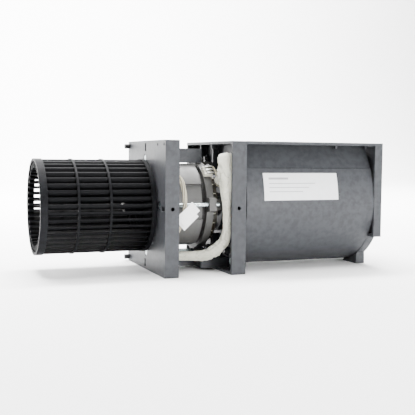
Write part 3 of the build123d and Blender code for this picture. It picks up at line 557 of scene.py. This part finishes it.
def flag_tag(material):
    """The folded paper flag: two leaves that curl a little, pinched round the leads."""
    low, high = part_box("flag_tag")
    centre = (low + high) / 2
    turn = Matrix.Rotation(math.radians(TAG_TILT), 3, "Y")
    nx, nz = 30, 14
    points, faces = [], []
    for dx, curl, long, tall, dz, back in LEAVES:
        for side in (-PAPER_HALF, PAPER_HALF):
            first = len(points)
            for i in range(nx + 1):
                for j in range(nz + 1):
                    u, v = i / nx - 0.5, j / nz - 0.5
                    bow = 0.9 * curl * math.cos(math.pi * u) - 0.5 * u * u
                    bow += 0.25 * math.sin(5 * u + 3 * v)
                    local = Vector((dx * 0.5 + u * long, back - 0.35 * bow + side, dz + v * tall))
                    points.append(centre + turn @ (local * MM))
            for i in range(nx):
                for j in range(nz):
                    a = first + i * (nz + 1) + j
                    quad = (a, a + nz + 1, a + nz + 2, a + 1)
                    faces.append(quad if side < 0 else quad[::-1])
        size = (nx + 1) * (nz + 1)
        near, far = len(points) - 2 * size, len(points) - size
        rim = list(range(nz + 1))
        rim += [i * (nz + 1) + nz for i in range(1, nx + 1)]
        rim += [nx * (nz + 1) + j for j in range(nz - 1, -1, -1)]
        rim += [i * (nz + 1) for i in range(nx - 1, 0, -1)]
        for a, b in zip(rim, rim[1:] + rim[:1]):
            faces.append((near + a, near + b, far + b, far + a))
    piece = add_mesh("paper_flag", points, faces, material)
    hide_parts("flag_tag")


# ---------------------------------------------------------------- motor
TURNS_OUT_R = 40.9 * MM   # the wire lies just outside the CAD winding's faces
TURNS_IN_R = 26.6 * MM
TURNS = 64
LACES = 24
BLOCK_ANGLE = 48          # degrees up from the front to the lead-out block
TAB_R = 53.2 * MM
TAB_SPREAD = (-5.2, 0.0, 5.2)
# half width and half height of a crimped tab along its length, in millimetres
TAB_WIDTH = (1.5, 1.6, 1.6, 1.1, 0.8, 1.2, 1.3, 1.2, 0.9)
TAB_HEIGHT = (0.3, 0.35, 0.35, 0.7, 0.9, 1.0, 1.0, 0.95, 0.8)


def ring_point(x, radius, angle):
    return Vector((x, -radius * math.cos(angle), AXIS_Z + radius * math.sin(angle)))


def end_turns(material, name, inner_x, outer_x, seed):
    """Varnished wire laid round one end of the winding, in uneven bundles."""
    draw = random.Random(seed)
    lines = []
    for k in range(TURNS):
        share = (k + 0.5) / TURNS
        # walks over the outer side, the rounded rim and the inner side of the end turns
        if share < 0.45:
            x, radius = inner_x + (outer_x - inner_x) * (share / 0.45) * 0.9, TURNS_OUT_R
        elif share < 0.75:
            bow = (share - 0.45) / 0.30
            x = outer_x - (outer_x - inner_x) * 0.10 * (1 - math.sin(math.pi * bow))
            radius = TURNS_OUT_R + (TURNS_IN_R - TURNS_OUT_R) * bow
        else:
            x, radius = outer_x + (inner_x - outer_x) * ((share - 0.75) / 0.25) * 0.9, TURNS_IN_R
        waves, phase, depth = draw.randint(7, 9), draw.uniform(0, 6.3), draw.uniform(0.3, 1.3) * MM
        start, sweep = draw.uniform(0, 6.3), draw.uniform(0.6, 1.0) * 2 * math.pi
        run = []
        steps = 120
        for i in range(steps + 1):
            a = start + sweep * i / steps
            swell = depth * math.sin(waves * a + phase)
            drift = 0.5 * MM * math.sin(3 * a + phase * 2)
            run.append(ring_point(x + swell * 0.6, radius + drift * 0.6, a))
        lines.append(run)
    points, faces = strands(lines, 0.42 * MM, 6)
    add_mesh(name, points, faces, material)


def lacing(material):
    """Waxed cord laced round the end turns on the open side."""
    x0, x1 = CORE[1].x + 1.2 * MM, WINDING[1].x
    lines = []
    for k in range(LACES):
        a = math.radians(360 / LACES * k + 4)
        lean = math.radians(3)
        loop = [(x0, 41.3, 0.0), (x1 - 4 * MM, 41.4, 0.2), (x1 - 1.0 * MM, 39.4, 0.35),
                (x1 + 0.6 * MM, 35.5, 0.5), (x1 + 0.6 * MM, 31.0, 0.7), (x1 - 1.0 * MM, 27.0, 0.85),
                (x1 - 5 * MM, 25.5, 1.0)]
        lines.append(evenly([ring_point(x, r * MM, a + lean * t) for x, r, t in loop], 30))
    points, faces = strands(lines, 0.5 * MM, 7)
    add_mesh("winding_lacing", points, faces, material)


def exit_terminals(metal, insulation):
    """Crimped tabs on the lead-out block and the short leads that cross to the sleeve."""
    block_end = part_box("lead_exit_block")[1].x
    tabs, faces = [], []
    for spread in TAB_SPREAD:
        a = math.radians(BLOCK_ANGLE + spread)
        centre = ring_point(block_end - 3.5 * MM, TAB_R, a)
        out = (ring_point(0, 1.0, a) - ring_point(0, 0.0, a)).normalized()
        along = Vector((1, 0, 0))
        across = out.cross(along)
        rings, around = len(TAB_WIDTH), 12
        first = len(tabs)
        for i, (wide, tall) in enumerate(zip(TAB_WIDTH, TAB_HEIGHT)):
            t = i / (rings - 1)
            p = centre + along * ((t - 0.3) * 9.5 * MM)
            for j in range(around):
                b = 2 * math.pi * j / around
                tabs.append(p + across * (wide * MM * math.cos(b)) + out * (tall * MM * math.sin(b)))
        faces += tube_faces(rings, around, first)
    add_mesh("lead_crimps", tabs, faces, metal)
    lines = []
    for k, spread in enumerate(TAB_SPREAD):
        a = math.radians(BLOCK_ANGLE + spread)
        start = ring_point(block_end + 2.6 * MM, TAB_R, a)
        end = (Vector(SLEEVE_ROUTE[0]) + Vector(((k - 1) * 2.2, -0.6, 2.0))) * MM
        lift = ring_point(block_end + 6.5 * MM, (53.6 - 1.4 * k) * MM, a - math.radians(3))
        low_turn = end - Vector((0, -1.0, 9.0 + 1.5 * k)) * MM
        middle = [tuple(v / MM) for v in (start, lift, low_turn, end)]
        lines.append(evenly(smooth_route(middle, 20), 50))
    points, faces = strands(lines, 0.95 * MM, 9)
    add_mesh("crossing_leads", points, faces, insulation)


# ---------------------------------------------------------------- camera, light and floor
CAMERA_PLACE = (-0.29162, -0.75137, 0.12347)
CAMERA_HEADING = -21.503  # degrees
CAMERA_TILT = -3.505
CAMERA_ROLL = 0.553
MIDDLE = (0.0, 0.0, 0.07)
# name, place, target, size in metres and power in watts
LIGHTS = [
    ("overhead", (0.0, 0.1, 2.6), MIDDLE, 3.0, 260),
    ("key", (-0.5, -1.5, 1.2), MIDDLE, 0.7, 8),
    ("fill", (1.5, -1.4, 0.6), MIDDLE, 0.9, 8),
    ("low_front", (0.4, -1.3, 0.10), (0.05, 0.0, 0.03), 0.5, 26),
    ("sweep_light", (0.0, 0.9, 2.3), (0.0, 3.4, 0.7), 2.5, 900),
]
WORLD_STRENGTH = 0.6


def camera():
    """From the front left, level with the object's upper half."""
    data = bpy.data.cameras.new("camera")
    data.sensor_width = 36.0
    data.lens = 62.2
    data.shift_y = -0.017
    data.clip_end = 20.0
    holder = bpy.data.objects.new("camera", data)
    bpy.context.scene.collection.objects.link(holder)
    turn = Matrix.Rotation(math.radians(CAMERA_HEADING), 3, "Z")
    turn @= Matrix.Rotation(math.radians(90 + CAMERA_TILT), 3, "X")
    turn @= Matrix.Rotation(math.radians(CAMERA_ROLL), 3, "Z")
    holder.matrix_world = Matrix.Translation(CAMERA_PLACE) @ turn.to_4x4()
    bpy.context.scene.camera = holder


def area(name, place, target, size, power):
    light = bpy.data.lights.new(name, "AREA")
    light.shape = "DISK"
    light.size = size
    light.energy = power
    holder = bpy.data.objects.new(name, light)
    bpy.context.scene.collection.objects.link(holder)
    holder.location = place
    holder.rotation_euler = (Vector(target) - Vector(place)).to_track_quat("-Z", "Y").to_euler()


def stage():
    """A pale sweep that rises behind the object, and soft light all round."""
    s = Shader("pale_sweep", 0.85)
    s.colour(s.mix(s.noise(3.0, 3.0), (0.93, 0.93, 0.93), (0.96, 0.96, 0.96)))
    half, back, rise, steps = 6.0, 2.2, 1.2, 16
    profile = [(-4.0, 0.0), (back, 0.0)]
    for i in range(1, steps + 1):
        a = math.pi / 2 * i / steps
        profile.append((back + rise * math.sin(a), rise - rise * math.cos(a)))
    profile.append((back + rise, 6.0))
    points = [(x, y, z) for y, z in profile for x in (-half, half)]
    faces = [(2 * i, 2 * i + 1, 2 * i + 3, 2 * i + 2) for i in range(len(profile) - 1)]
    mesh = bpy.data.meshes.new("pale_sweep")
    mesh.from_pydata(points, [], faces)
    mesh.polygons.foreach_set("use_smooth", [True] * len(mesh.polygons))
    mesh.materials.append(s.mat)
    floor = bpy.data.objects.new("pale_sweep", mesh)
    floor.location.z = CAD_BOX[0].z
    bpy.context.scene.collection.objects.link(floor)
    world = bpy.data.worlds.new("studio")
    world.use_nodes = True
    world.node_tree.nodes["Background"].inputs["Color"].default_value = (1.0, 1.0, 1.0, 1.0)
    world.node_tree.nodes["Background"].inputs["Strength"].default_value = WORLD_STRENGTH
    bpy.context.scene.world = world
    for light in LIGHTS:
        area(*light)


# ---------------------------------------------------------------- put together
def paint(materials):
    """Each CAD node gets the material of its slot."""
    slots = {row["node"]: row["material_slot"] for row in frame["record"]["subparts"]}
    for name, node in NODES.items():
        material = materials["bracket" if name == "shield_right" else slots[name]]
        if not node.material_slots:
            node.data.materials.append(material)
        for place in node.material_slots:
            place.material = material


camera()
MATERIALS = make_materials()
paint(MATERIALS)
lead_sleeve(MATERIALS["sleeve"])
lead_bundle(MATERIALS["wire"])
flag_tag(MATERIALS["paper_tag"])
end_turns(MATERIALS["copper"], "end_turns_right", CORE[1].x + 1 * MM, WINDING[1].x, 5)
end_turns(MATERIALS["copper"], "end_turns_left", CORE[0].x - 1 * MM, WINDING[0].x, 6)
lacing(MATERIALS["sleeve"])
exit_terminals(MATERIALS["spring_steel"], MATERIALS["wire"])
stage()
